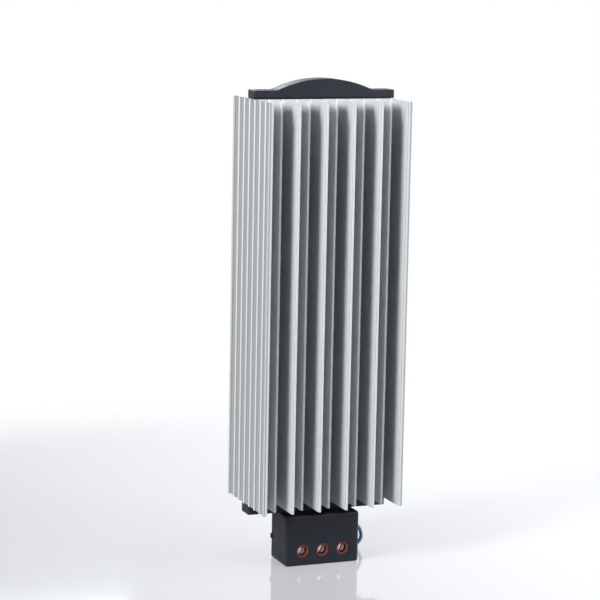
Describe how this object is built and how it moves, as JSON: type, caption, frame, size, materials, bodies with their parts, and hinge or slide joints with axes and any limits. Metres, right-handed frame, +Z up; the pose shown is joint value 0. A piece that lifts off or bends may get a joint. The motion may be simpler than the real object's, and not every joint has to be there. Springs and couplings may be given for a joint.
{
  "type": "enclosure heater",
  "caption": "Finned aluminium enclosure heater with moulded end caps, a screw terminal housing below and a rail clip on the back.",
  "frame": {"origin": "centre of the bounding box in plan, on the underside of the terminal housing", "axes": "+X to the right seen from the front, -Y towards the front fins, +Y towards the rail clip, +Z up"},
  "size_m": [0.09, 0.075, 0.2941],
  "materials": {
    "anodised": "satin",
    "black_moulding": "matte",
    "red_moulding": "matte",
    "silicone": "matte",
    "zinc_steel": "zinc plated",
    "bright_screw": "bright plated",
    "nickelled_brass": "nickel plated",
    "insulating_film": "film",
    "electrode": "mill",
    "ceramic": "sintered",
    "frame_moulding": "matte",
    "blue_insulation": "satin",
    "black_insulation": "satin",
    "zinc_sheet": "zinc plated",
    "spring_steel": "bright"
  },
  "bodies": {
    "root": {"heat_sink": "anodised", "top_cap": "black_moulding", "bottom_cap": "black_moulding", "top_seal": "silicone", "bottom_seal": "silicone", "top_cap_screw_left": "zinc_steel", "top_cap_screw_right": "zinc_steel", "bottom_cap_screw_left": "zinc_steel", "bottom_cap_screw_right": "zinc_steel", "terminal_housing": "black_moulding", "housing_back": "black_moulding", "terminal_insulator": "red_moulding", "terminal_cage_1": "nickelled_brass", "terminal_cage_2": "nickelled_brass", "terminal_cage_3": "nickelled_brass", "terminal_screw_1": "bright_screw", "terminal_screw_2": "bright_screw", "terminal_screw_3": "bright_screw", "housing_screw_left": "zinc_steel", "housing_screw_right": "zinc_steel", "insulation_sleeve": "insulating_film", "electrode_front": "electrode", "electrode_back": "electrode", "stone_frame": "frame_moulding", "ptc_stone_1": "ceramic", "ptc_stone_2": "ceramic", "ptc_stone_3": "ceramic", "ptc_stone_4": "ceramic", "ptc_stone_5": "ceramic", "ptc_stone_6": "ceramic", "ptc_stone_7": "ceramic", "ptc_stone_8": "ceramic", "lead_neutral": "blue_insulation", "lead_live": "black_insulation", "earth_strip": "nickelled_brass", "earth_screw": "zinc_steel", "din_clip": "zinc_sheet", "clip_spring": "spring_steel", "clip_slider": "zinc_steel", "clip_screw_lower": "zinc_steel", "clip_screw_upper": "zinc_steel"}
  },
  "joints": []
}
